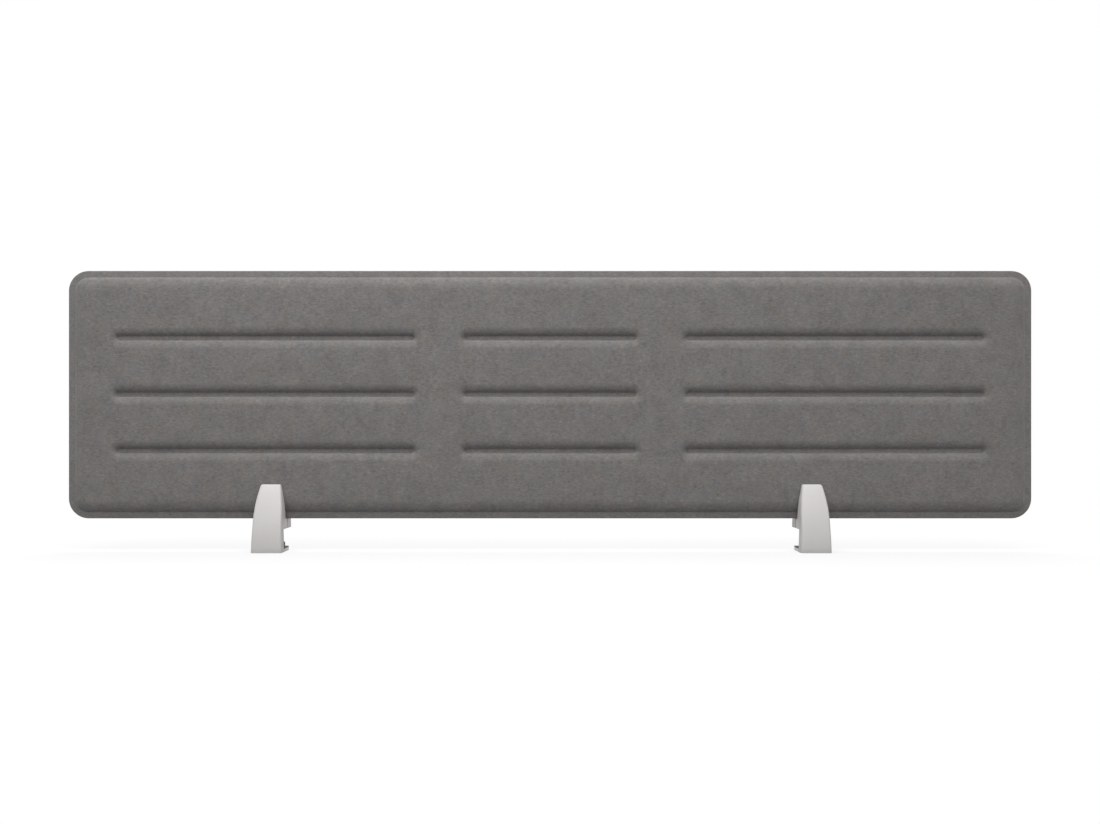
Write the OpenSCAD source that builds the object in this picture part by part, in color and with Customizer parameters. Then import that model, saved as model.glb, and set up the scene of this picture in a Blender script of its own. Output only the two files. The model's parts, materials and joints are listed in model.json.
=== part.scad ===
// Acoustic divider screen: a moulded felt panel carried by two clamps on the edge of a desk.
// X runs along the screen, +Y points behind it and +Z points up.
// The origin lies on the desk top, under the middle of the panel.

/* [Panel] */
// Length of the panel
panel_w = 1400; // [1000:10:1800]
// Height of the panel
panel_h = 360; // [280:5:600]
// Thickness over the raised fields, from front face to rear face
panel_t = 18; // [14:0.5:20]
// Outer corner radius of the panel
panel_corner_r = 29; // [25:1:60]
// Thickness of each felt shell
felt_t = 3; // [2:0.25:4]
// Width of the flat pressed rim
rim_w = 9.5; // [6:0.5:14]
// Broad radius along the edge of the raised field
field_round_r = 35; // [30:1:42]
// Tighter radius at the foot of the field, beside the rim
field_foot_r = 13.5; // [11:0.5:18]

/* [Grooves] */
// Rows of grooves, spread about the middle of the panel
groove_rows = 3; // [1:1:4]
// Distance from one row of grooves to the next
groove_pitch = 82; // [50:1:90]
// Width of a groove's flat floor
groove_floor_w = 6.5; // [3:0.5:12]
// Broad radius along the edge of a groove
groove_round_r = 22; // [18:0.5:28]
// Tighter radius at the foot of a groove's wall
groove_foot_r = 10; // [9:0.5:13]
// Length of the middle groove of a row, along its floor
mid_groove_l = 248; // [120:2:400]
// Distance between the floors of two grooves in a row
groove_gap = 74; // [45:1:120]
// Distance from an outer groove's floor to the side of the panel
groove_side_gap = 71; // [45:1:140]

/* [Clamp bodies] */
// Place of the left clamp along the panel
left_clamp_x = -403.5; // [-480:0.5:-200]
// Place of the right clamp along the panel
right_clamp_x = 378.5; // [200:0.5:480]
// Height of the clamp's fins above the panel's lower edge
fin_h = 50; // [42:1:70]
// Thickness of a fin near its tip
fin_tip_t = 6.3; // [5.5:0.1:10]
// Radius of the bulged front face, seen from the side
front_r = 190; // [150:5:300]
// Radius of the bulged rear face, seen from the side
rear_r = 200; // [150:5:300]
// Width of the clamp at its lower end
clamp_low_w = 44; // [42:0.5:54]
// Width of the clamp at the panel's lower edge
clamp_seat_w = 41.2; // [40:0.2:52]
// Radius of the drawn-in sides above the panel's lower edge
side_r = 250; // [150:5:400]
// Radius over the top of each fin
crown_r = 3; // [2:0.5:5]
// Rounding of the long outer edges
edge_r = 3.5; // [1:0.5:4]
// Height of the blocks between the desk top and the panel
block_h = 14.5; // [14:0.5:24]
// Thickness of the spine at its lower end
spine_t = 18.5; // [17.5:0.5:24]
// Gap between the clamp body and its rear cheek
split_gap = 4; // [2:0.5:6]

/* [Desk jaw] */
// Desk thickness that the open jaw takes
desk_gap = 25.5; // [24:0.5:45]
// How far the jaw can rise
jaw_travel = 12; // [6:1:16]
// Thickness of the jaw's arm
arm_t = 4.5; // [4:0.5:8]
// Reach of the arm behind the spine
arm_l = 31; // [20:1:45]
// Width of the arm
arm_w = 43; // [34:1:44]
// Rounding under the tip of the arm
arm_nose_r = 3; // [1:0.5:3.5]
// Height of the tee block that slides in the spine
slide_h = 15.5; // [13:0.5:18]
// Width of the tee block
tee_w = 24; // [18:1:28]
// Width of the neck between the tee block and the arm
neck_w = 12.4; // [11.6:0.2:15]
// Thickness of the two lips that hold the tee block
tee_lip_t = 3.5; // [2.5:0.5:4.5]
// Thickness of the spine's front wall at its lower end
front_wall_t = 5.2; // [4.5:0.1:5.7]

/* [Screws and pins] */
// Thread diameter of the jaw and grip screws
screw_d = 6; // [5:0.5:6]
// Length of the screws under the head
screw_l = 30; // [26:1:34]
// Diameter of the screw heads
head_d = 10; // [8.5:0.5:10]
// Height of the screw heads
head_h = 6; // [4:0.5:6.5]
// Width across the flats of the hexagon socket
key_w = 5; // [4:0.5:6]
// Depth of the hexagon socket
key_depth = 3; // [2:0.5:3.5]
// Distance of the jaw screw behind the lower front edge
jaw_screw_setback = 12.5; // [11.5:0.5:13]
// Outer diameter of the brass inserts
insert_d = 8.4; // [7.5:0.1:9]
// Length of the brass inserts
insert_l = 10; // [6:0.5:10]
// Diameter of the guide pins
pin_d = 4; // [3:0.5:5]
// Distance between the two guide pins
pin_spacing = 28; // [20:1:32]
// How deep the guide pins sit in the clamp body
pin_seat = 10; // [6:0.5:14]
// How far the rear cheek can be backed off
cheek_travel = 6; // [2:0.5:7]
// How much of the guide pins a backed-off cheek still holds
pin_hold = 6; // [4:0.5:10]

/* [Pads] */
// Thickness of the grip pads on the fins
grip_pad_t = 1; // [0.5:0.1:2]
// Width of the grip pads
grip_pad_w = 20; // [12:1:24]
// Thickness of the pad over the desk
seat_pad_t = 1.5; // [1:0.1:3]
// Width of the pad over the desk
seat_pad_w = 32; // [20:1:36]
// How far the seat pad stands below the block
seat_proud = 0.5; // [0.3:0.1:0.8]
// Border of bare block around the seat pad
seat_border = 2; // [1:0.5:4]
// Thickness of the jaw's pad
jaw_pad_t = 2; // [1:0.5:4]
// Thickness of the jaw pad's upturned lip
lip_t = 2.5; // [1.5:0.5:4]
// Height of the lip above the jaw pad
lip_h = 9; // [4:0.5:12]
// How far the lip's finger tab stands out beside the spine
tab_out = 1.2; // [0.5:0.1:4]

/* [Fits] */
// Clearance around screws and pins that turn or slide
running_gap = 0.05; // [0.02:0.01:0.1]
// Clearance of the jaw in the spine
slide_gap = 0.3; // [0.2:0.05:0.5]
// Clearance between the felt and the grip pads
grip_gap = 0.2; // [0.1:0.05:0.4]
// Clearance between the panel's lower edge and the blocks
ledge_gap = 0.2; // [0.1:0.05:0.4]
// Clearance of the filling sheet inside the felt shells
core_gap = 0.3; // [0.2:0.1:1]
// Clearance of a part that is set in a recess
set_gap = 0.02; // [0.01:0.01:0.1]

/* [Hidden] */
CLAMP_PARTS = ["clamp_body", "rear_cheek", "front_grip_pad", "rear_grip_pad", "seat_pad", "jaw",
    "jaw_pad", "jaw_screw", "jaw_insert", "grip_screw", "grip_insert", "guide_pins"];

felt_colour = [0.44, 0.43, 0.42];
filling_colour = [0.85, 0.85, 0.82];
body_colour = [0.79, 0.78, 0.77];
pad_colour = [0.2, 0.2, 0.2];
steel_colour = [0.6, 0.61, 0.63];
brass_colour = [0.78, 0.62, 0.3];

// Cuts run this far past the faces that they open
past = 1;
// Facets of the turned shapes
$fn = 64;

// The felt shells: a flat rim, and fields raised from it over rounded shoulders
rise = panel_t / 2 - felt_t;
lining = [felt_t, felt_t];
// Slope at which a shoulder passes from its broad radius to the tighter one
round_turn = 22;
broad_steps = 3;
foot_steps = 4;
// Each shoulder is [broad radius, tighter radius]
field_shoulder = [field_round_r, field_foot_r];
groove_shoulder = [groove_round_r, groove_foot_r];
field_run = shoulder_width(field_shoulder);
groove_run = shoulder_width(groove_shoulder);
inner_groove_run = shoulder_width(groove_shoulder - lining);
// The corners of the flat field share their centres with the panel's, so a tight corner narrows the rim
field_r = max(0.5, panel_corner_r - rim_w - field_run);
corner_x = panel_w / 2 - panel_corner_r;
corner_y = panel_h / 2 - panel_corner_r;
panel_z = block_h + ledge_gap;
panel_mid_z = panel_z + panel_h / 2;

// Each groove is [x of its middle, length of its floor]
side_groove_l = panel_w / 2 - groove_side_gap - groove_gap - mid_groove_l / 2;
side_groove_x = panel_w / 2 - groove_side_gap - side_groove_l / 2;
groove_row = [[-side_groove_x, side_groove_l], [0, mid_groove_l], [side_groove_x, side_groove_l]];
floor_half = groove_floor_w / 2;
inner_floor_half = floor_half + groove_run - inner_groove_run;

// The clamp, seen from the side. Its body ends flush with the underside of the open jaw's arm
fin_top = block_h + fin_h;
channel_y = panel_t / 2 + grip_gap + grip_pad_t;
arm_top = -desk_gap - jaw_pad_t;
arm_bottom = arm_top - arm_t;
front_reach = channel_y + fin_tip_t + arc_drop(front_r, fin_top - arm_bottom);
rear_reach = channel_y + fin_tip_t + arc_drop(rear_r, fin_top - seat_proud);
spine_back = spine_t - front_reach;
side_slope = (clamp_low_w - clamp_seat_w) / 2 / (block_h - arm_bottom);
crown_side = 0.6;
level_steps = 12;
crown_steps = 5;
edge_steps = 4;

// The jaw's tee block in its slot
tee_front = front_wall_t - front_reach;
tee_back = spine_back - tee_lip_t;
slide_top = arm_bottom + slide_h;
stop_gap = 0.5;
slot_top = slide_top + jaw_travel + stop_gap;

// The jaw screw hangs the jaw from the insert above the slot
screw_r = screw_d / 2;
head_sink = 0.3;
head_room = 0.3;
jaw_screw_y = jaw_screw_setback - front_reach;
jaw_shoulder = arm_bottom + head_h + head_sink;
jaw_screw_tip = jaw_shoulder + screw_l;
jaw_bore_top = jaw_screw_tip + jaw_travel + past;

// The grip screw pulls the rear cheek towards the body
grip_z = (seat_proud + block_h) / 2;
grip_shoulder = reach_behind(grip_z) - head_h - head_sink;
grip_screw_tip = grip_shoulder - screw_l;
insert_end = -split_gap / 2 - insert_l;
grip_bore_end = min(insert_end, grip_screw_tip) - past;
pin_tip = split_gap / 2 + cheek_travel + pin_hold;

// The pads
grip_pad_low = panel_z + rim_w + field_run + past;
grip_pad_high = fin_top - crown_r - past;
jaw_pad_front = spine_back + slide_gap;
lip_top = arm_top + jaw_pad_t + lip_h;
tab_edge = half_width(lip_top) + tab_out;

// Slope of a shoulder s, given as [broad radius, tighter radius], where it meets the flat felt
function foot_slope(s) = acos(cos(round_turn) - (rise - s[0] * (1 - cos(round_turn))) / s[1]);

// A length rounded to a micrometre, so that straight and turned stretches of a shoulder meet exactly
function neat(v) = round(1000 * v) / 1000;

// Horizontal width of a shoulder s that climbs from the flat felt to the field
function shoulder_width(s) = neat(s[0] * sin(round_turn) + s[1] * (sin(foot_slope(s)) - sin(round_turn)));

// Depth of an arc of radius r after a height h, from where it runs upright
function arc_drop(r, h) = r - sqrt(r * r - h * h);

// Points of an arc of radius r about c, from slope a0 to slope a1, without the first one
function arc(r, c, a0, a1, steps) = [
    for (i = [1:steps])
        let (a = a0 + (a1 - a0) * i / steps)
            [neat(c[0] + r * sin(a)), neat(c[1] + r * cos(a))]
];

// Points of a shoulder s from the field down to the flat felt: [distance out, height over the flat]
function shoulder(s) =
    let (c0 = [0, rise - s[0]])
    let (c1 = c0 + (s[0] - s[1]) * [sin(round_turn), cos(round_turn)])
        concat(
            [[0, rise]],
            arc(s[0], c0, 0, round_turn, broad_steps),
            arc(s[1], c1, round_turn, foot_slope(s), foot_steps)
        );

// How much the rounded top of a fin draws in at height z
function crown(z) = z > fin_top - crown_r ? arc_drop(crown_r, z - fin_top + crown_r) : 0;

// Half the width of the clamp at height z
function half_width(z) =
    clamp_seat_w / 2 - side_slope * (z - block_h) - pow(max(0, z - block_h), 2) / (2 * side_r);

// How far the clamp reaches in front of and behind the panel's middle plane at height z
function reach_ahead(z) = front_reach - arc_drop(front_r, z - arm_bottom) - crown(z);
function reach_behind(z) = rear_reach - arc_drop(rear_r, z - seat_proud) - crown(z);

// Heights of the sections of a lofted fin that starts at z0, closer together over the crown
function levels(z0) = concat(
    [for (i = [0:level_steps]) z0 + (fin_top - crown_r - z0) * i / level_steps],
    [for (i = [1:crown_steps]) fin_top - crown_r + crown_r * sin(90 * i / crown_steps)]
);

// One section: a rectangle of half width w from y0 to y1, with its two corners at y0 rounded
function section(w, y0, y1, z) = concat(
    [[w, y1, z], [-w, y1, z]],
    [for (i = [0:edge_steps]) let (a = 180 + 90 * i / edge_steps)
        [-w + edge_r + edge_r * cos(a), y0 + edge_r + edge_r * sin(a), z]],
    [for (i = [0:edge_steps]) let (a = 270 + 90 * i / edge_steps)
        [w - edge_r + edge_r * cos(a), y0 + edge_r + edge_r * sin(a), z]]
);

// Skin over a stack of sections that all have n points
module skin(sections) {
    n = len(sections[0]);
    rows = len(sections);
    polyhedron(
        points = [for (s = sections) each s],
        faces = concat(
            [[for (j = [0:n - 1]) j]],
            [[for (j = [n - 1:-1:0]) (rows - 1) * n + j]],
            [for (i = [0:rows - 2], j = [0:n - 1])
                [i * n + j, (i + 1) * n + j, (i + 1) * n + (j + 1) % n]],
            [for (i = [0:rows - 2], j = [0:n - 1])
                [i * n + j, (i + 1) * n + (j + 1) % n, i * n + (j + 1) % n]]
        )
    );
}

// Box from one corner to the opposite one
module span(low, high) {
    translate(low)
        cube(high - low);
}

// Box centred on x = 0
module band(w, y0, y1, z0, z1) {
    span([-w / 2, y0, z0], [w / 2, y1, z1]);
}

// Round bar along +Y from y0 to y1
module bar_y(r, x, y0, y1, z) {
    translate([x, y0, z])
        rotate([-90, 0, 0])
            cylinder(r = r, h = y1 - y0);
}

// Round bar along +Z from z0 to z1
module bar_z(r, y, z0, z1) {
    translate([0, y, z0])
        cylinder(r = r, h = z1 - z0);
}

// Plate with rounded corners, lying on the local XY plane
module plate(w, h, r, t) {
    linear_extrude(t) {
        square([w - 2 * r, h], center = true);
        square([w, h - 2 * r], center = true);
        for (x = [-1, 1], y = [-1, 1])
            translate([x * (w / 2 - r), y * (h / 2 - r)])
                circle(r);
    }
}

// Outline of one side of a raised field: from the edge of its flat top down the shoulder s
function field_side(flat, s) = concat(
    [for (p = shoulder(s)) [flat + p[0], p[1]]],
    [[flat + shoulder_width(s), -past]]
);

// Outline of one wall of a groove whose floor has the half width f, up the shoulder s
function groove_side(f, s) = concat(
    [for (i = [broad_steps + foot_steps:-1:0]) let (p = shoulder(s)[i]) [f + shoulder_width(s) - p[0], p[1]]],
    [[f + shoulder_width(s), rise + past]]
);

// A side outline and its mirror image, as one closed profile
function both_sides(side) = concat(side, [for (i = [len(side) - 1:-1:0]) [-side[i][0], side[i][1]]]);

// A side outline closed along the axis, for turning
function to_axis(side) = concat(side, [[0, side[len(side) - 1][1]], [0, side[0][1]]]);

// Bar of length l along the local X axis with the given profile
module bar_of(profile, l) {
    translate([-l / 2, 0, 0])
        rotate([90, 0, 90])
            linear_extrude(l)
                polygon(profile);
}

// Raised field over the local XY plane, with the shoulder s all round
module field(s) {
    bar_of(both_sides(field_side(corner_y + field_r, s)), 2 * corner_x);
    rotate(90)
        bar_of(both_sides(field_side(corner_x + field_r, s)), 2 * corner_y);
    for (q = [0:3])
        translate([(q == 0 || q == 3 ? 1 : -1) * corner_x, (q < 2 ? 1 : -1) * corner_y, 0])
            rotate(90 * q)
                rotate_extrude(angle = 90)
                    polygon(to_axis(field_side(field_r, s)));
}

// One groove over the local XY plane, with round ends
module groove(l, f, s) {
    straight = l - groove_floor_w;
    bar_of(both_sides(groove_side(f, s)), straight);
    for (end = [0, 1])
        rotate(180 * end)
            translate([straight / 2, 0, 0])
                rotate(-90)
                    rotate_extrude(angle = 180)
                        polygon(to_axis(groove_side(f, s)));
}

// All grooves of one face, with floors of half width f and walls of shoulder s
module grooves(f, s) {
    for (g = groove_row, row = [0:groove_rows - 1])
        translate([g[0], groove_pitch * (row - (groove_rows - 1) / 2), 0])
            groove(g[1], f, s);
}

// One felt shell, its rim lying on the local XY plane and its field facing local +Z
module felt_shell() {
    color(felt_colour)
        difference() {
            union() {
                plate(panel_w, panel_h, panel_corner_r, felt_t);
                translate([0, 0, felt_t])
                    field(field_shoulder);
            }
            difference() {
                field(field_shoulder - lining);
                grooves(inner_floor_half, groove_shoulder - lining);
            }
            translate([0, 0, felt_t])
                grooves(floor_half, groove_shoulder);
        }
}

module front_felt_shell() {
    translate([0, 0, panel_mid_z])
        rotate([90, 0, 0])
            felt_shell();
}

module rear_felt_shell() {
    mirror([0, 1, 0])
        front_felt_shell();
}

// Filling sheet between the shells, cut out where the grooves join them
module acoustic_core() {
    t = 2 * (rise - core_gap);
    cut_w = groove_floor_w + 2 * groove_run;
    color(filling_colour)
        translate([0, t / 2, panel_mid_z])
            rotate([90, 0, 0])
                difference() {
                    plate(2 * (corner_x + field_r), 2 * (corner_y + field_r), field_r, t);
                    for (g = groove_row, row = [0:groove_rows - 1])
                        translate([g[0], groove_pitch * (row - (groove_rows - 1) / 2), -past])
                            plate(g[1] - groove_floor_w + cut_w, cut_w, cut_w / 2 - set_gap, t + 2 * past);
                }
}

// Clamp body: the fin in front of the panel, the block under it and the spine down to the jaw
module clamp_body() {
    z = levels(arm_bottom);
    color(body_colour)
        difference() {
            skin([for (h = z)
                section(half_width(h) - crown_side * crown(h), -reach_ahead(h), -split_gap / 2, h)]);
            panel_channel(-channel_y, past);
            band(2 * clamp_low_w, spine_back, past, arm_bottom - past, seat_proud);
            tee_slot();
            jaw_screw_bore();
            grip_screw_bore();
            pin_bores(-split_gap / 2 - pin_seat, set_gap);
            seat_pocket();
        }
}

// Room for the panel between y0 and y1, from the top of the blocks upwards
module panel_channel(y0, y1) {
    band(2 * clamp_low_w, y0, y1, block_h, fin_top + past);
}

// Slot in the spine for the jaw's tee block, open below
module tee_slot() {
    band(tee_w + 2 * slide_gap, tee_front, tee_back, arm_bottom - past, slot_top);
    band(neck_w + 2 * slide_gap, tee_back - past, spine_back + past, arm_bottom - past, slot_top);
}

// Seat of the jaw insert over the slot, and the blind bore that the screw rises into
module jaw_screw_bore() {
    bar_z(insert_d / 2 + set_gap, jaw_screw_y, slot_top - past, slot_top + insert_l);
    bar_z(screw_r + running_gap, jaw_screw_y, slot_top, jaw_bore_top);
}

// Seat of the grip insert in the block, and the blind bore behind it
module grip_screw_bore() {
    bar_y(insert_d / 2 + set_gap, 0, insert_end, past, grip_z);
    bar_y(screw_r + running_gap, 0, grip_bore_end, past, grip_z);
}

// Bores for the two guide pins, from y0 through the split
module pin_bores(y0, gap) {
    for (x = [-1, 1])
        bar_y(pin_d / 2 + gap, x * pin_spacing / 2, y0, past, grip_z);
}

// Shallow pocket under the block for the seat pad
module seat_pocket() {
    band(seat_pad_w + 2 * set_gap, spine_back + seat_border - set_gap,
        -split_gap / 2 - seat_border + set_gap, seat_proud - past, seat_pad_t);
}

// Rear cheek: the fin behind the panel and its block, which slides on the guide pins
module rear_cheek() {
    z = levels(seat_proud);
    color(body_colour)
        difference() {
            mirror([0, 1, 0])
                skin([for (h = z)
                    section(half_width(h) - crown_side * crown(h), -reach_behind(h), -split_gap / 2, h)]);
            panel_channel(-past, channel_y);
            bar_y(screw_r + running_gap, 0, 0, rear_reach, grip_z);
            bar_y(head_d / 2 + head_room, 0, grip_shoulder, rear_reach + past, grip_z);
            for (x = [-1, 1])
                bar_y(pin_d / 2 + running_gap, x * pin_spacing / 2, 0, pin_tip + past, grip_z);
        }
}

// Grip pads, stuck to the inner faces of the fins
module front_grip_pad() {
    color(pad_colour)
        band(grip_pad_w, -channel_y, grip_pad_t - channel_y, grip_pad_low, grip_pad_high);
}

module rear_grip_pad() {
    color(pad_colour)
        band(grip_pad_w, channel_y - grip_pad_t, channel_y, grip_pad_low, grip_pad_high);
}

// Pad that rests on the desk, set into the pocket under the block
module seat_pad() {
    color(pad_colour)
        band(seat_pad_w, spine_back + seat_border, -split_gap / 2 - seat_border, 0, seat_pad_t - set_gap);
}

// Jaw: an arm under the desk, and a tee block that the screw pulls up inside the spine
module jaw() {
    color(body_colour)
        difference() {
            union() {
                jaw_arm();
                band(tee_w, tee_front + slide_gap, tee_back - slide_gap, arm_bottom, slide_top);
                band(neck_w, tee_back - slide_gap - past, jaw_pad_front, arm_bottom, slide_top);
            }
            bar_z(screw_r + running_gap, jaw_screw_y, arm_bottom, slide_top + past);
            bar_z(head_d / 2 + head_room, jaw_screw_y, arm_bottom - past, jaw_shoulder);
        }
}

// Arm of the jaw, rounded under its tip
module jaw_arm() {
    tip = spine_back + arm_l;
    rotate([90, 0, 90])
        translate([0, 0, -arm_w / 2])
            linear_extrude(arm_w)
                difference() {
                    translate([jaw_pad_front, arm_bottom])
                        square([tip - jaw_pad_front, arm_t]);
                    difference() {
                        translate([tip - arm_nose_r, arm_bottom - past])
                            square(arm_nose_r + past);
                        translate([tip - arm_nose_r, arm_bottom + arm_nose_r])
                            circle(arm_nose_r);
                    }
                }
}

// Jaw pad: a strip on the arm, with a lip up the spine that ends in a finger tab on one side
module jaw_pad() {
    color(pad_colour) {
        band(arm_w, jaw_pad_front, spine_back + arm_l - past, arm_top, arm_top + jaw_pad_t);
        translate([0, jaw_pad_front + lip_t, 0])
            rotate([90, 0, 0])
                linear_extrude(lip_t)
                    lip_outline();
    }
}

// Outline of the lip, seen from the front, with its free corners rounded
module lip_outline() {
    r = lip_h / 3;
    left = -arm_w / 2 + tab_out;
    translate([left, arm_top])
        square([tab_edge - left, jaw_pad_t + lip_h - r]);
    translate([left + r, arm_top])
        square([tab_edge - left - 2 * r, jaw_pad_t + lip_h]);
    for (x = [left + r, tab_edge - r])
        translate([x, lip_top - r])
            circle(r);
}

// Socket head screw along +Z: its head hangs below z = 0 and its shank rises above
module socket_screw() {
    color(steel_colour)
        difference() {
            union() {
                cylinder(r = screw_r, h = screw_l);
                translate([0, 0, -head_h])
                    cylinder(r = head_d / 2, h = head_h);
            }
            translate([0, 0, -head_h - past])
                cylinder(r = key_w / 2 / cos(30), h = key_depth + past, $fn = 6);
        }
}

module jaw_screw() {
    translate([0, jaw_screw_y, jaw_shoulder])
        socket_screw();
}

module grip_screw() {
    translate([0, grip_shoulder, grip_z])
        rotate([90, 0, 0])
            socket_screw();
}

// Brass insert along +Z
module insert() {
    color(brass_colour)
        difference() {
            cylinder(r = insert_d / 2, h = insert_l);
            translate([0, 0, -past])
                cylinder(r = screw_r + running_gap, h = insert_l + 2 * past);
        }
}

module jaw_insert() {
    translate([0, jaw_screw_y, slot_top])
        insert();
}

module grip_insert() {
    translate([0, -split_gap / 2, grip_z])
        rotate([90, 0, 0])
            insert();
}

// Two pins pressed into the block, on which the rear cheek slides
module guide_pins() {
    color(steel_colour)
        for (x = [-1, 1])
            bar_y(pin_d / 2, x * pin_spacing / 2, -split_gap / 2 - pin_seat, pin_tip, grip_z);
}

// One part of a clamp, by its name
module clamp_part(name) {
    if (name == "clamp_body") clamp_body();
    if (name == "rear_cheek") rear_cheek();
    if (name == "front_grip_pad") front_grip_pad();
    if (name == "rear_grip_pad") rear_grip_pad();
    if (name == "seat_pad") seat_pad();
    if (name == "jaw") jaw();
    if (name == "jaw_pad") jaw_pad();
    if (name == "jaw_screw") jaw_screw();
    if (name == "jaw_insert") jaw_insert();
    if (name == "grip_screw") grip_screw();
    if (name == "grip_insert") grip_insert();
    if (name == "guide_pins") guide_pins();
}

front_felt_shell();
rear_felt_shell();
acoustic_core();
for (part = CLAMP_PARTS) {
    translate([left_clamp_x, 0, 0]) clamp_part(part);
    translate([right_clamp_x, 0, 0]) clamp_part(part);
}
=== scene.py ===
# %% [markdown]
# # Acoustic divider screen
# This screen stands along the edge of a desk and soaks up sound. Two shells of pressed felt hold a
# soft filling between them, and two clamps of moulded plastic carry the panel and grip the desk.
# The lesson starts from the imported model, whose pieces already have their real sizes and places.
# Nothing in it is moved: each step either gives a piece its finish or models a finer piece over it.

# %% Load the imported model
import json
import math

import bmesh
import bpy
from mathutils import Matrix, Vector


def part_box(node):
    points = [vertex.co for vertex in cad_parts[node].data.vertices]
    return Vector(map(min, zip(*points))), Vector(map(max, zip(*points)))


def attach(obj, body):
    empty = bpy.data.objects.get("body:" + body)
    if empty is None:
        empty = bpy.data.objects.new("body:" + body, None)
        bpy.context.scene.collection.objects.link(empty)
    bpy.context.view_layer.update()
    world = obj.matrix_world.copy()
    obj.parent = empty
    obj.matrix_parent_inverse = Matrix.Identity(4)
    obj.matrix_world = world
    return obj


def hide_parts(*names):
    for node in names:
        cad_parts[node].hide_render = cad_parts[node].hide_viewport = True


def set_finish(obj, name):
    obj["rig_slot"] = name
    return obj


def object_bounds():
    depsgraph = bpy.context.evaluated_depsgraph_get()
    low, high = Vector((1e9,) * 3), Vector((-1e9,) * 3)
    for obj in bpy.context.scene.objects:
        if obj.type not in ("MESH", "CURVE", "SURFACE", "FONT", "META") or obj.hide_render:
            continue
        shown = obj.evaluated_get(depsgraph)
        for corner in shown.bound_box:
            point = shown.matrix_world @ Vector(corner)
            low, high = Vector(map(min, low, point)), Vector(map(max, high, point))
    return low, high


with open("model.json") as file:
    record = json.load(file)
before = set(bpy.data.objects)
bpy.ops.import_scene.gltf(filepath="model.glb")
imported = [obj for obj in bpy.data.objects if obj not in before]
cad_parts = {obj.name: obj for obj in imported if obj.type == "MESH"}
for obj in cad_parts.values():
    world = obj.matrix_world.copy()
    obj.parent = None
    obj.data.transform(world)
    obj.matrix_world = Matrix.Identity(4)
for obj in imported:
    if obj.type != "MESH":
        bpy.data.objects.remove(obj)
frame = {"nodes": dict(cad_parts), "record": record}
cad_low, cad_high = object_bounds()
cad_nodes = frame["nodes"]
print("packed pieces:", len(cad_nodes))

# %% [markdown]
# ## Working tidily with operators
# An operator acts on everything that is selected, so each step first clears the selection and then
# picks what it needs by place or by normal. Doing that in two small helpers keeps the steps short.

# %% Selection helpers
MM = 0.001


def make_active(obj):
    """Leave one object selected and active."""
    bpy.ops.object.select_all(action="DESELECT")
    obj.select_set(True)
    bpy.context.view_layer.objects.active = obj


def pick_faces(obj, wanted):
    """In edit mode, select only the faces that pass a test, and say how many there are."""
    bpy.ops.mesh.select_mode(type="FACE")
    bpy.ops.mesh.select_all(action="DESELECT")
    mesh = bmesh.from_edit_mesh(obj.data)
    count = 0
    for face in mesh.faces:
        if wanted(face):
            face.select_set(True)
            count += 1
    bmesh.update_edit_mesh(obj.data)
    return count


def pick_edges(obj, wanted):
    """In edit mode, select only the edges that pass a test, and say how many there are."""
    bpy.ops.mesh.select_mode(type="EDGE")
    bpy.ops.mesh.select_all(action="DESELECT")
    mesh = bmesh.from_edit_mesh(obj.data)
    count = 0
    for edge in mesh.edges:
        if wanted(edge):
            edge.select_set(True)
            count += 1
    bmesh.update_edit_mesh(obj.data)
    return count


print("one object is active at a time")

# %% [markdown]
# ## The camera
# The photograph looks straight along the depth of the screen, from a little below its middle. Only
# the inner sides of the clamps show, which gives the distance. A camera that is tilted would make
# the panel's sides lean together, so it stays level, and a small lens shift frames the screen as a
# view camera would.

# %% Camera at the photograph's viewpoint
# In pixels of the photograph
PHOTO_W = 1100
FOCAL_PIXELS = 1132.5
HORIZON_BELOW_MIDDLE = 29.2
MIDDLE_TO_LEFT = 1.3
# In metres, and the sensor in millimetres
CAMERA_DISTANCE = 1.65
CAMERA_HEIGHT = 0.127
CAMERA_X = -0.002
SENSOR_W = 36
LEVEL_VIEW = math.radians(90)

camera_data = bpy.data.cameras.new("photo_camera")
camera_data.sensor_width = SENSOR_W
camera_data.lens = FOCAL_PIXELS / PHOTO_W * SENSOR_W
camera_data.shift_y = HORIZON_BELOW_MIDDLE / PHOTO_W
camera_data.shift_x = MIDDLE_TO_LEFT / PHOTO_W
camera = bpy.data.objects.new("photo_camera", camera_data)
camera.location = (CAMERA_X, -CAMERA_DISTANCE, CAMERA_HEIGHT)
camera.rotation_euler = (LEVEL_VIEW, 0, 0)
bpy.context.scene.collection.objects.link(camera)
bpy.context.scene.camera = camera
print("lens in millimetres:", round(camera_data.lens, 1))

# %% [markdown]
# ## The profile of a shoulder
# The felt is pressed between heated tools. Where it falls from the raised field to the flat rim it
# first turns down in a broad round, then in a tighter one, and at the foot the tool leaves a small
# fillet. The walls of the grooves do the same with smaller radii, so one function serves both. It
# is worked out as arcs that touch, because arcs stay smooth where hand-set points would ripple.

# %% Shoulder profile
FELT_T = 3 * MM
ROUND_TURN = math.radians(22)
FIELD_RADII = (35 * MM, 13.5 * MM)
GROOVE_RADII = (22 * MM, 10 * MM)
FILLET_R = 0.7 * MM
BROAD_STEPS = 5
TIGHT_STEPS = 6
FILLET_STEPS = 3

felt_low, felt_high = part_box("front_felt_shell")
PANEL_W = felt_high.x - felt_low.x
PANEL_H = felt_high.z - felt_low.z
PANEL_MID_Z = (felt_high.z + felt_low.z) / 2
FIELD_OUT = felt_high.y - felt_low.y
RISE = FIELD_OUT - FELT_T


def arc_points(radius, centre, first, last, steps):
    """Points (distance out, height) of an arc about a centre, from one slope to another."""
    points = []
    for i in range(1, steps + 1):
        a = first + (last - first) * i / steps
        points.append((centre[0] + radius * math.sin(a), centre[1] + radius * math.cos(a)))
    return points


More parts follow.
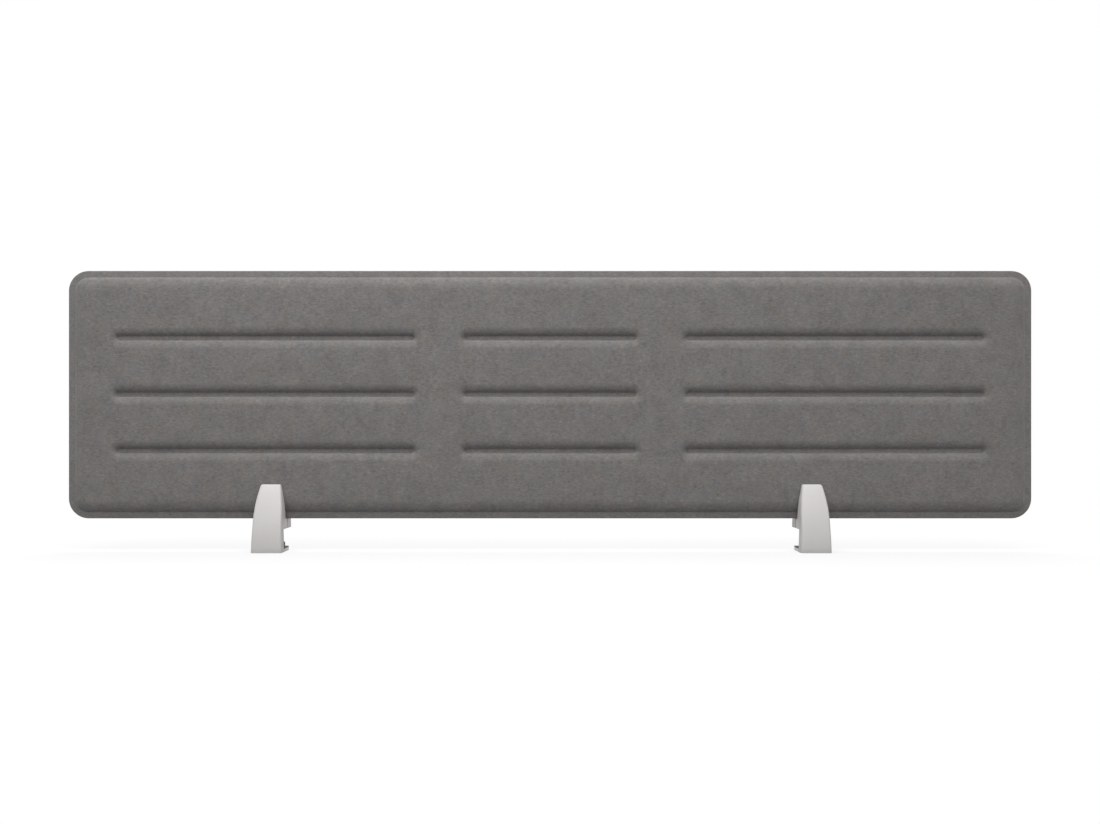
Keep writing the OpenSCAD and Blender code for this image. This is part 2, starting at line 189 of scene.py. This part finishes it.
def shoulder_profile(radii, fillet):
    """Points (distance out, height) from the edge of the field down to the flat felt."""
    broad, tight = radii
    sin_turn, cos_turn = math.sin(ROUND_TURN), math.cos(ROUND_TURN)
    left_to_fall = RISE - broad * (1 - cos_turn)
    foot = math.acos((tight * cos_turn + fillet - left_to_fall) / (tight + fillet))
    tight_centre = ((broad - tight) * sin_turn, RISE - broad + (broad - tight) * cos_turn)
    points = [(0, RISE)]
    points += arc_points(broad, (0, RISE - broad), 0, ROUND_TURN, BROAD_STEPS)
    points += arc_points(tight, tight_centre, ROUND_TURN, foot, TIGHT_STEPS)
    if fillet:
        fillet_centre = (points[-1][0] + fillet * math.sin(foot), fillet)
        points += arc_points(-fillet, fillet_centre, foot, 0, FILLET_STEPS)
    return points


field_profile = shoulder_profile(FIELD_RADII, FILLET_R)
groove_profile = shoulder_profile(GROOVE_RADII, FILLET_R)
FIELD_RUN = shoulder_profile(FIELD_RADII, 0)[-1][0]
GROOVE_RUN = shoulder_profile(GROOVE_RADII, 0)[-1][0]
print("shoulder widths in mm:", round(FIELD_RUN / MM, 2), round(GROOVE_RUN / MM, 2))

# %% [markdown]
# ## One felt shell
# The shell is modelled lying flat, as it lies in the press, with +Z out of its face. A plane gets
# its round corners from a vertex bevel. Then the inset tool steps inwards and upwards along the
# profile, which is how a box modeller lofts a moulded edge. The grooves are made the same way from
# small planes, stepping down. All their open edges are then filled as one flat face with holes.

# %% Rounded plane and profile rings
CORNER_STEPS = 14
SAME_POINT = 0.02 * MM


def rounded_plane(w, h, radius, x, y, z, steps):
    """Add a flat plane with round corners and leave it in edit mode."""
    bpy.ops.mesh.primitive_plane_add(size=1, location=(x, y, z))
    bpy.context.object.scale = (w, h, 1)
    bpy.ops.object.transform_apply(location=True, rotation=True, scale=True)
    bpy.ops.object.mode_set(mode="EDIT")
    bpy.ops.mesh.select_all(action="SELECT")
    bpy.ops.mesh.bevel(offset=radius, segments=steps, affect="VERTICES")
    bpy.ops.mesh.remove_doubles(threshold=SAME_POINT)
    return bpy.context.object


def inset_along(points):
    """Inset the selected face step by step along a profile of (distance, height)."""
    for (out_a, up_a), (out_b, up_b) in zip(points, points[1:]):
        bpy.ops.mesh.inset(thickness=abs(out_b - out_a), depth=up_b - up_a)


def leave_hole():
    """Delete the selected face but keep its edges, and go back to object mode."""
    bpy.ops.mesh.delete(type="ONLY_FACE")
    bpy.ops.object.mode_set(mode="OBJECT")


print("corner segments:", CORNER_STEPS)

# %% Rim and outer shoulder
CORNER_R = 29 * MM
RIM_W = 9.5 * MM

sheet = rounded_plane(PANEL_W, PANEL_H, CORNER_R, 0, 0, FELT_T, CORNER_STEPS)
sheet.name = "front_felt"
pick_faces(sheet, lambda face: True)
rim_flat = RIM_W + FIELD_RUN - field_profile[-1][0]
bpy.ops.mesh.inset(thickness=rim_flat, depth=0)
inset_along(field_profile[::-1])
leave_hole()
print("rim rings have", len(sheet.data.polygons), "faces")

# %% Grooves
GROOVE_PITCH = 82 * MM
GROOVE_ROWS = (-1, 0, 1)
FLOOR_W = 6.5 * MM
MID_GROOVE = 248 * MM
GROOVE_GAP = 74 * MM
SIDE_GAP = 71 * MM
GROOVE_STEPS = 12

side_groove = PANEL_W / 2 - SIDE_GAP - GROOVE_GAP - MID_GROOVE / 2
side_x = PANEL_W / 2 - SIDE_GAP - side_groove / 2
groove_w = FLOOR_W + 2 * GROOVE_RUN
grooves = []
for x, length in ((-side_x, side_groove), (0, MID_GROOVE), (side_x, side_groove)):
    for row in GROOVE_ROWS:
        groove = rounded_plane(
            length + 2 * GROOVE_RUN,
            groove_w,
            groove_w / 2,
            x,
            row * GROOVE_PITCH,
            FIELD_OUT,
            GROOVE_STEPS,
        )
        inset_along(groove_profile)
        bpy.ops.object.mode_set(mode="OBJECT")
        grooves.append(groove)
print("grooves pressed:", len(grooves))

# %% Join the rings and fill the field
LEVEL = 0.01 * MM


def borders_field(edge):
    """Whether an edge is open and lies at the height of the field."""
    return edge.is_boundary and all(abs(v.co.z - FIELD_OUT) < LEVEL for v in edge.verts)


make_active(sheet)
for groove in grooves:
    groove.select_set(True)
bpy.ops.object.join()
bpy.ops.object.mode_set(mode="EDIT")
open_edges = pick_edges(sheet, borders_field)
bpy.ops.mesh.fill(use_beauty=True)
bpy.ops.mesh.select_all(action="SELECT")
bpy.ops.mesh.normals_make_consistent(inside=False)
bpy.ops.object.mode_set(mode="OBJECT")
print("open edges filled:", open_edges, "and faces now:", len(sheet.data.polygons))

# %% [markdown]
# ## From a sheet to a shell
# So far the felt has no thickness. Solidify gives it the three millimetres of the real felt on its
# inner side, so the face stays where it is and the rim and groove floors reach the middle plane,
# where the two shells are bonded. Felt is cut with a blade, so its edge is nearly square: a small
# bevel softens it, and where two shells meet the bevels leave the fine seam that shows all round.

# %% Thickness and soft cut edge
EDGE_SOFT = 0.7 * MM
EDGE_SEGMENTS = 3
NEARLY_UPRIGHT = 0.05

make_active(sheet)
if sum(polygon.normal.z * polygon.area for polygon in sheet.data.polygons) < 0:
    bpy.ops.object.mode_set(mode="EDIT")
    bpy.ops.mesh.select_all(action="SELECT")
    bpy.ops.mesh.flip_normals()
    bpy.ops.object.mode_set(mode="OBJECT")
wall = sheet.modifiers.new("felt thickness", "SOLIDIFY")
wall.thickness = FELT_T
wall.offset = -1
wall.use_even_offset = True
bpy.ops.object.modifier_apply(modifier=wall.name)
bpy.ops.object.mode_set(mode="EDIT")
cut_faces = pick_faces(sheet, lambda face: abs(face.normal.z) < NEARLY_UPRIGHT)
bpy.ops.mesh.region_to_loop()
bpy.ops.mesh.bevel(offset=EDGE_SOFT, segments=EDGE_SEGMENTS, affect="EDGES")
bpy.ops.object.mode_set(mode="OBJECT")
print("cut edge faces:", cut_faces)

# %% Stand the shell up and copy it for the rear
SMOOTH_ANGLE = math.radians(38)
QUARTER_TURN = math.radians(90)
HALF_TURN = math.radians(180)

sheet.rotation_euler = (QUARTER_TURN, 0, 0)
sheet.location = (0, 0, PANEL_MID_Z)
bpy.ops.object.transform_apply(location=True, rotation=True, scale=True)
rear_sheet = sheet.copy()
rear_sheet.data = sheet.data.copy()
rear_sheet.name = "rear_felt"
bpy.context.scene.collection.objects.link(rear_sheet)
make_active(rear_sheet)
rear_sheet.rotation_euler = (0, 0, HALF_TURN)
bpy.ops.object.transform_apply(location=True, rotation=True, scale=True)
for shell, cad_node in ((sheet, "front_felt_shell"), (rear_sheet, "rear_felt_shell")):
    make_active(shell)
    bpy.ops.object.shade_smooth_by_angle(angle=SMOOTH_ANGLE)
    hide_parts(cad_node)
    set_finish(shell, "felt")
    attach(shell, "panel")
print("felt shells:", sheet.name, rear_sheet.name)

# %% [markdown]
# ## Softening the moulded parts
# A moulded edge is never quite sharp, and the thin highlight along it is what makes plastic look
# real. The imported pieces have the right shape, so a copy of each is merged into one skin, its flat
# triangles are dissolved into whole faces, and a narrow bevel rounds what is sharper than an angle.

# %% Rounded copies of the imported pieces
DOUBLES = 0.005 * MM
FLAT = math.radians(0.4)
SHARP = math.radians(32)


def rounded_copy(cad_node, name, width, segments, slot, body):
    """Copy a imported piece, merge its triangles, bevel its sharp edges and put it in its place."""
    piece = bpy.data.objects.new(name, cad_nodes[cad_node].data.copy())
    bpy.context.scene.collection.objects.link(piece)
    make_active(piece)
    bpy.ops.object.mode_set(mode="EDIT")
    bpy.ops.mesh.select_all(action="SELECT")
    bpy.ops.mesh.remove_doubles(threshold=DOUBLES)
    bpy.ops.mesh.dissolve_limited(angle_limit=FLAT)
    bpy.ops.object.mode_set(mode="OBJECT")
    edge = piece.modifiers.new("soft edge", "BEVEL")
    edge.width = width
    edge.segments = segments
    edge.limit_method = "ANGLE"
    edge.angle_limit = SHARP
    bpy.ops.object.modifier_apply(modifier=edge.name)
    bpy.ops.object.shade_smooth_by_angle(angle=SHARP)
    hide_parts(cad_node)
    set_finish(piece, slot)
    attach(piece, body)
    return piece


# Part, bevel width in millimetres, bevel segments, material slot and the end of its body's name
CLAMP_PIECES = (
    ("clamp_body", 0.5, 3, "clamp_plastic", "clamp"),
    ("rear_cheek", 0.5, 3, "clamp_plastic", "cheek"),
    ("jaw", 0.5, 3, "clamp_plastic", "jaw"),
    ("jaw_pad", 0.4, 2, "pad_rubber", "jaw"),
    ("seat_pad", 0.2, 2, "pad_rubber", "clamp"),
    ("front_grip_pad", 0.25, 2, "pad_rubber", "clamp"),
    ("rear_grip_pad", 0.25, 2, "pad_rubber", "cheek"),
    ("jaw_screw", 0.3, 2, "steel", "jaw_screw"),
    ("grip_screw", 0.3, 2, "steel", "grip_screw"),
)
clamp_pieces = {}
for side in ("left", "right"):
    for part, width, segments, slot, body in CLAMP_PIECES:
        name = f"{side}_{part}_finished"
        clamp_pieces[name] = rounded_copy(
            f"{side}_{part}", name, width * MM, segments, slot, f"{side}_{body}"
        )
print("softened pieces:", len(clamp_pieces))

# %% [markdown]
# ## Building materials from nodes
# A material is a small graph. Each finish below starts from the same shader and Object coordinates,
# which are in metres and stay with the piece when it moves, so a noise scale of 1000 makes grains
# of about a millimetre.

# %% Node helpers
def new_finish(name):
    """A new material with its node tree, shader and Object coordinates."""
    material = bpy.data.materials.new(name)
    material.use_nodes = True
    tree = material.node_tree
    shader = tree.nodes["Principled BSDF"]
    coordinates = tree.nodes.new("ShaderNodeTexCoord").outputs["Object"]
    return material, tree, shader, coordinates


def noise(tree, coordinates, scale, detail=2.0, roughness=0.5, stretch=(1, 1, 1)):
    """Noise of so many grains a metre, drawn out along the axes that have a small stretch."""
    mapping = tree.nodes.new("ShaderNodeMapping")
    mapping.inputs["Scale"].default_value = stretch
    tree.links.new(coordinates, mapping.inputs["Vector"])
    texture = tree.nodes.new("ShaderNodeTexNoise")
    texture.inputs["Scale"].default_value = scale
    texture.inputs["Detail"].default_value = detail
    texture.inputs["Roughness"].default_value = roughness
    tree.links.new(mapping.outputs["Vector"], texture.inputs["Vector"])
    return texture.outputs["Fac"]


def remap(tree, value, low, high, to_low, to_high):
    """Stretch a value from one range to another, clamped at both ends."""
    node = tree.nodes.new("ShaderNodeMapRange")
    ends = {"From Min": low, "From Max": high, "To Min": to_low, "To Max": to_high}
    for name, number in ends.items():
        node.inputs[name].default_value = number
    tree.links.new(value, node.inputs["Value"])
    return node.outputs["Result"]


def combine(tree, operation, a, b):
    """A Math node on two values, each an output or a number."""
    node = tree.nodes.new("ShaderNodeMath")
    node.operation = operation
    for socket, value in zip(node.inputs, (a, b)):
        if isinstance(value, (int, float)):
            socket.default_value = value
        else:
            tree.links.new(value, socket)
    return node.outputs["Value"]


def shade(tree, colour, factor):
    """A colour, fixed or from the graph, times a factor that comes from the graph."""
    node = tree.nodes.new("ShaderNodeVectorMath")
    node.operation = "SCALE"
    if isinstance(colour, tuple):
        node.inputs[0].default_value = colour
    else:
        tree.links.new(colour, node.inputs[0])
    tree.links.new(factor, node.inputs["Scale"])
    return node.outputs["Vector"]


def bump(tree, shader, height, depth, strength):
    """Small relief on the surface, with its depth in metres."""
    node = tree.nodes.new("ShaderNodeBump")
    node.inputs["Distance"].default_value = depth
    node.inputs["Strength"].default_value = strength
    tree.links.new(height, node.inputs["Height"])
    tree.links.new(node.outputs["Normal"], shader.inputs["Normal"])


print("node helpers ready")

# %% [markdown]
# ## Felt
# The felt is spun from grey fibres, some warmer, some cooler, some lighter or darker, which lie
# mostly along the screen. Close up it is a tangle, and from a step away it is a soft heather. So
# noises of several sizes are multiplied: broad clouds, tufts of a few millimetres, streaks that are
# long along X and short along Z, single fibres, and a few strands that stand out. One more noise
# drifts between the warm and the cool grey. A weak sheen stands for the fuzz, which catches some
# light where the felt turns away from the eye, and the bump is the tangle itself.

# %% Felt finish
FELT_WARM = (0.172, 0.160, 0.153)
FELT_COOL = (0.165, 0.161, 0.158)


def blend_colours(tree, first, second, factor):
    """A colour that goes from the first to the second as the factor goes from 0 to 1."""
    node = tree.nodes.new("ShaderNodeMix")
    node.data_type = "RGBA"
    colours = [socket for socket in node.inputs if socket.type == "RGBA"]
    for socket, colour in zip(colours, (first, second)):
        socket.default_value = (*colour, 1)
    tree.links.new(factor, node.inputs["Factor"])
    return next(socket for socket in node.outputs if socket.type == "RGBA")


def felt_finish():
    material, tree, shader, place = new_finish("heathered_felt")
    clouds = noise(tree, place, scale=40, detail=3, roughness=0.6)
    tufts = noise(tree, place, scale=140, detail=3, roughness=0.6)
    streaks = noise(tree, place, scale=330, detail=3, roughness=0.6, stretch=(0.5, 1, 1))
    fibres = noise(tree, place, scale=1500, detail=2, roughness=0.6, stretch=(0.3, 1, 1))
    strands = noise(tree, place, scale=700, detail=2, roughness=0.5, stretch=(0.35, 1, 1))
    tone = remap(tree, clouds, 0.3, 0.7, 0.92, 1.08)
    # Each pattern, the range of it that counts, and how dark and how light it makes the grey
    for pattern, low, high, dark, light in (
        (tufts, 0.3, 0.7, 0.93, 1.07),
        (streaks, 0.25, 0.75, 0.84, 1.16),
        (fibres, 0.25, 0.75, 0.82, 1.18),
        (strands, 0.62, 0.72, 1.0, 1.26),
        (strands, 0.30, 0.40, 0.78, 1.0),
    ):
        tone = combine(tree, "MULTIPLY", tone, remap(tree, pattern, low, high, dark, light))
    drift = remap(tree, noise(tree, place, scale=60, detail=2), 0.35, 0.65, 0, 1)
    grey = blend_colours(tree, FELT_WARM, FELT_COOL, drift)
    tree.links.new(shade(tree, grey, tone), shader.inputs["Base Color"])
    shader.inputs["Roughness"].default_value = 0.95
    shader.inputs["Specular IOR Level"].default_value = 0.15
    shader.inputs["Sheen Weight"].default_value = 0.35
    shader.inputs["Sheen Roughness"].default_value = 0.5
    bump(tree, shader, combine(tree, "ADD", streaks, fibres), depth=0.35 * MM, strength=0.6)
    return material


felt = felt_finish()
print("felt nodes:", len(felt.node_tree.nodes))

# %% [markdown]
# ## Filling
# The filling is a soft white sheet of fibre. It is closed in by the felt, so it needs no more than
# a matt, slightly uneven white.

# %% Filling finish
FILLING_WHITE = (0.70, 0.70, 0.66)


def filling_finish():
    material, tree, shader, place = new_finish("fibre_filling")
    tone = remap(tree, noise(tree, place, scale=300, detail=3), 0.3, 0.7, 0.9, 1.05)
    tree.links.new(shade(tree, FILLING_WHITE, tone), shader.inputs["Base Color"])
    shader.inputs["Roughness"].default_value = 1.0
    return material


filling = filling_finish()
print("filling nodes:", len(filling.node_tree.nodes))

# %% [markdown]
# ## Moulded plastic
# The clamps are a light, warm grey with a fine spark-eroded grain, which the mould gives to the
# surface so that it scatters the light. The colour barely varies, so nearly all of the life comes
# from the roughness and from a very shallow bump.

# %% Plastic finish
PLASTIC_COLOUR = (0.55, 0.535, 0.525)


def plastic_finish():
    material, tree, shader, place = new_finish("moulded_plastic")
    drift = noise(tree, place, scale=30, detail=2)
    grain = noise(tree, place, scale=2600, detail=2)
    tone = remap(tree, drift, 0.3, 0.7, 0.985, 1.015)
    tree.links.new(shade(tree, PLASTIC_COLOUR, tone), shader.inputs["Base Color"])
    tree.links.new(remap(tree, grain, 0.3, 0.7, 0.5, 0.64), shader.inputs["Roughness"])
    shader.inputs["Specular IOR Level"].default_value = 0.3
    bump(tree, shader, grain, depth=0.02 * MM, strength=0.5)
    return material


plastic = plastic_finish()
print("plastic nodes:", len(plastic.node_tree.nodes))

# %% [markdown]
# ## Rubber, steel and brass
# The pads are soft dark rubber: matt, with a dusty unevenness. The screws and pins are zinc plated,
# with fine turning marks round them, and the inserts are brass.

# %% Rubber finish
RUBBER_BLACK = (0.052, 0.050, 0.048)


def rubber_finish():
    material, tree, shader, place = new_finish("pad_rubber")
    dust = noise(tree, place, scale=220, detail=3)
    grain = noise(tree, place, scale=1800, detail=2)
    tone = remap(tree, dust, 0.3, 0.7, 0.85, 1.2)
    tree.links.new(shade(tree, RUBBER_BLACK, tone), shader.inputs["Base Color"])
    tree.links.new(remap(tree, dust, 0.3, 0.7, 0.68, 0.85), shader.inputs["Roughness"])
    shader.inputs["Specular IOR Level"].default_value = 0.35
    bump(tree, shader, grain, depth=0.05 * MM, strength=0.5)
    return material


rubber = rubber_finish()
print("rubber nodes:", len(rubber.node_tree.nodes))


# %% Metal finishes
ZINC = (0.55, 0.56, 0.58)
BRASS = (0.62, 0.44, 0.18)


def metal_finish(name, colour, low, high):
    """A metal whose roughness runs from low to high along its turning marks."""
    material, tree, shader, place = new_finish(name)
    marks = noise(tree, place, scale=1400, detail=3, roughness=0.6, stretch=(1, 0.15, 1))
    tone = remap(tree, marks, 0.3, 0.7, 0.9, 1.08)
    tree.links.new(shade(tree, colour, tone), shader.inputs["Base Color"])
    tree.links.new(remap(tree, marks, 0.3, 0.7, low, high), shader.inputs["Roughness"])
    shader.inputs["Metallic"].default_value = 1.0
    bump(tree, shader, marks, depth=0.01 * MM, strength=0.4)
    return material


steel = metal_finish("zinc_plated_steel", ZINC, 0.28, 0.42)
brass = metal_finish("insert_brass", BRASS, 0.3, 0.45)
print("metals:", steel.name, brass.name)

# %% [markdown]
# ## Finishes by slot
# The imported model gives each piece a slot, which is the name of what it is made of. The finished
# pieces carry the same names, so one table from slot to material dresses both, and a piece that is
# swapped later gets its finish without a new line.

# %% Give every piece its finish
FINISH_OF_SLOT = {
    "felt": felt,
    "filling": filling,
    "clamp_plastic": plastic,
    "pad_rubber": rubber,
    "steel": steel,
    "insert_brass": brass,
}
slot_of_node = {part["node"]: part["material_slot"] for part in frame["record"]["subparts"]}


def give_finish(obj, slot):
    obj.data.materials.clear()
    obj.data.materials.append(FINISH_OF_SLOT[slot])


for cad_node, obj in cad_nodes.items():
    give_finish(obj, slot_of_node[cad_node])
for piece in (sheet, rear_sheet, *clamp_pieces.values()):
    give_finish(piece, piece["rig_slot"])
print("finishes given to", len(cad_nodes), "packed and", len(clamp_pieces) + 2, "finished pieces")

# %% [markdown]
# ## Floor and light
# The photograph shows the screen on pure white, with strong soft light from above and hardly any
# from below. About half of the light is an even white dome, which the world gives. The floor is
# white to the camera and darker to the light that bounces off it. A wide softbox overhead, a little
# in front, does most of the rest, and lights the walls of the pressing that look up. A smaller one
# hangs closer, over the left half, which is a little lighter in the photograph, and a broad weak
# one fills the front. The panel keeps nearly all of this light off its rear, so two lamps do the
# same work on that side.

# %% Floor
FLOOR_SIZE = 40
FLOOR_GAP = 0.1 * MM
FLOOR_BOUNCE = 0.15
FLOOR_LIT = 0.14
FLOOR_GLOW = 0.78
SHADOW_REACH = (0.7, 1.6)

bpy.ops.object.select_all(action="DESELECT")
bpy.ops.mesh.primitive_plane_add(size=FLOOR_SIZE, location=(0, 0, cad_low.z - FLOOR_GAP))
floor = bpy.context.object
floor.name = "floor"
floor_material = bpy.data.materials.new("white_floor")
floor_material.use_nodes = True
floor_tree = floor_material.node_tree
floor_tree.nodes.remove(floor_tree.nodes["Principled BSDF"])


def floor_shader(kind, colour, strength=None):
    """A grey or white shader for the floor."""
    node = floor_tree.nodes.new(kind)
    node.inputs["Color"].default_value = (colour, colour, colour, 1)
    if strength is not None:
        node.inputs["Strength"].default_value = strength
    return node.outputs[0]


def floor_mix(kind, *inputs):
    """Mix or add what is linked to the first inputs of a new node."""
    node = floor_tree.nodes.new(kind)
    for socket, value in zip(node.inputs, inputs):
        floor_tree.links.new(value, socket)
    return node.outputs[0]


def seen_directly(tree):
    """1 where the camera or a reflection looks, 0 where light only bounces."""
    rays = tree.nodes.new("ShaderNodeLightPath")
    return combine(tree, "MAXIMUM", rays.outputs["Is Camera Ray"], rays.outputs["Is Glossy Ray"])


near = floor_mix(
    "ShaderNodeAddShader",
    floor_shader("ShaderNodeBsdfDiffuse", FLOOR_LIT),
    floor_shader("ShaderNodeEmission", 1, FLOOR_GLOW),
)
length = floor_tree.nodes.new("ShaderNodeVectorMath")
length.operation = "LENGTH"
floor_place = floor_tree.nodes.new("ShaderNodeTexCoord").outputs["Object"]
floor_tree.links.new(floor_place, length.inputs[0])
distance = remap(floor_tree, length.outputs["Value"], *SHADOW_REACH, 0, 1)
seen = floor_mix("ShaderNodeMixShader", distance, near, floor_shader("ShaderNodeEmission", 1, 1))
bounced = floor_shader("ShaderNodeBsdfDiffuse", FLOOR_BOUNCE)
choice = floor_mix("ShaderNodeMixShader", seen_directly(floor_tree), bounced, seen)
floor_tree.links.new(choice, floor_tree.nodes["Material Output"].inputs["Surface"])
floor.data.materials.append(floor_material)
print("floor at z =", round(floor.location.z, 4))

# %% World
AMBIENT = 0.9

world = bpy.data.worlds.new("studio")
bpy.context.scene.world = world
world.use_nodes = True
air = world.node_tree
background = air.nodes["Background"]
strength = remap(air, seen_directly(air), 0, 1, AMBIENT, 1.0)
air.links.new(strength, background.inputs["Strength"])
background.inputs["Color"].default_value = (1, 1, 1, 1)
print("ambient level:", AMBIENT)

# %% Softboxes
def softbox(name, location, aim, size_x, size_y, level):
    """A rectangular lamp that faces a point, with its brightness given as a surface level."""
    data = bpy.data.lights.new(name, "AREA")
    data.shape = "RECTANGLE"
    data.size = size_x
    data.size_y = size_y
    data.energy = level * math.pi * size_x * size_y
    lamp = bpy.data.objects.new(name, data)
    lamp.location = location
    towards = aim - lamp.location
    lamp.rotation_euler = towards.to_track_quat("-Z", "Y").to_euler()
    bpy.context.scene.collection.objects.link(lamp)


middle = (cad_low + cad_high) / 2
left_part = middle + Vector((-0.35, 0, 0))
# Name, place, what it faces, width, height and level
LAMPS = (
    ("overhead_softbox", (-0.1, -0.75, 1.9), middle, 2.2, 1.2, 3.3),
    ("left_softbox", (-0.35, -0.5, 1.0), left_part, 0.7, 0.5, 1.55),
    ("front_softbox", (0, -3.0, 0.7), middle, 2.4, 1.4, 0.4),
    ("rear_overhead_softbox", (0.1, 0.75, 1.9), middle, 2.2, 1.2, 3.3),
    ("rear_softbox", (0, 3.0, 0.7), middle, 2.4, 1.4, 0.6),
)
for lamp in LAMPS:
    softbox(*lamp)
bpy.context.scene.view_settings.view_transform = "Standard"
print("lamps:", len(LAMPS))
